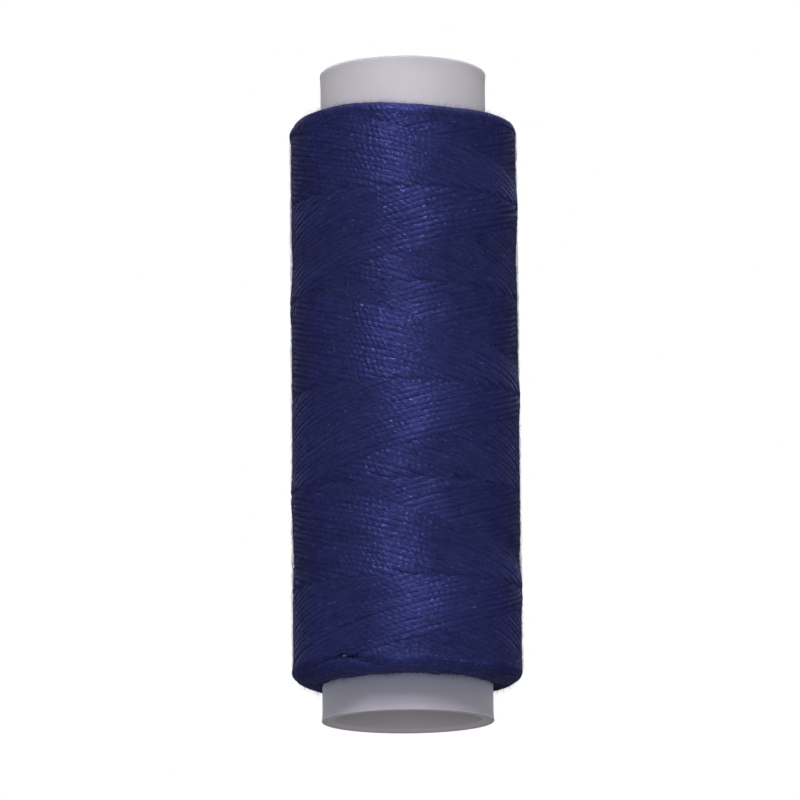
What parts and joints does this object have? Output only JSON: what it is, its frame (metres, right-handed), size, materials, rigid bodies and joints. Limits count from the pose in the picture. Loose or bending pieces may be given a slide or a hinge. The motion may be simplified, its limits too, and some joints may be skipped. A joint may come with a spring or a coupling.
{
  "type": "spool of sewing thread",
  "caption": "Small straight-tube spool, open right through, with a rounded package of cross-wound navy sewing thread.",
  "frame": {"origin": "centre of the lower rim, on the surface that the spool stands on", "axes": "+Z along the spool towards its upper rim; -Y is the side that the picture shows"},
  "size_m": [0.02, 0.02, 0.058],
  "materials": {
    "tube": "frosted translucent moulded plastic",
    "thread": "spun polyester sewing thread, two plies, wound tight"
  },
  "bodies": {
    "root": {"spool_tube": "tube", "thread_underlayers": "thread", "thread_outer_layer": "thread"}
  },
  "joints": []
}
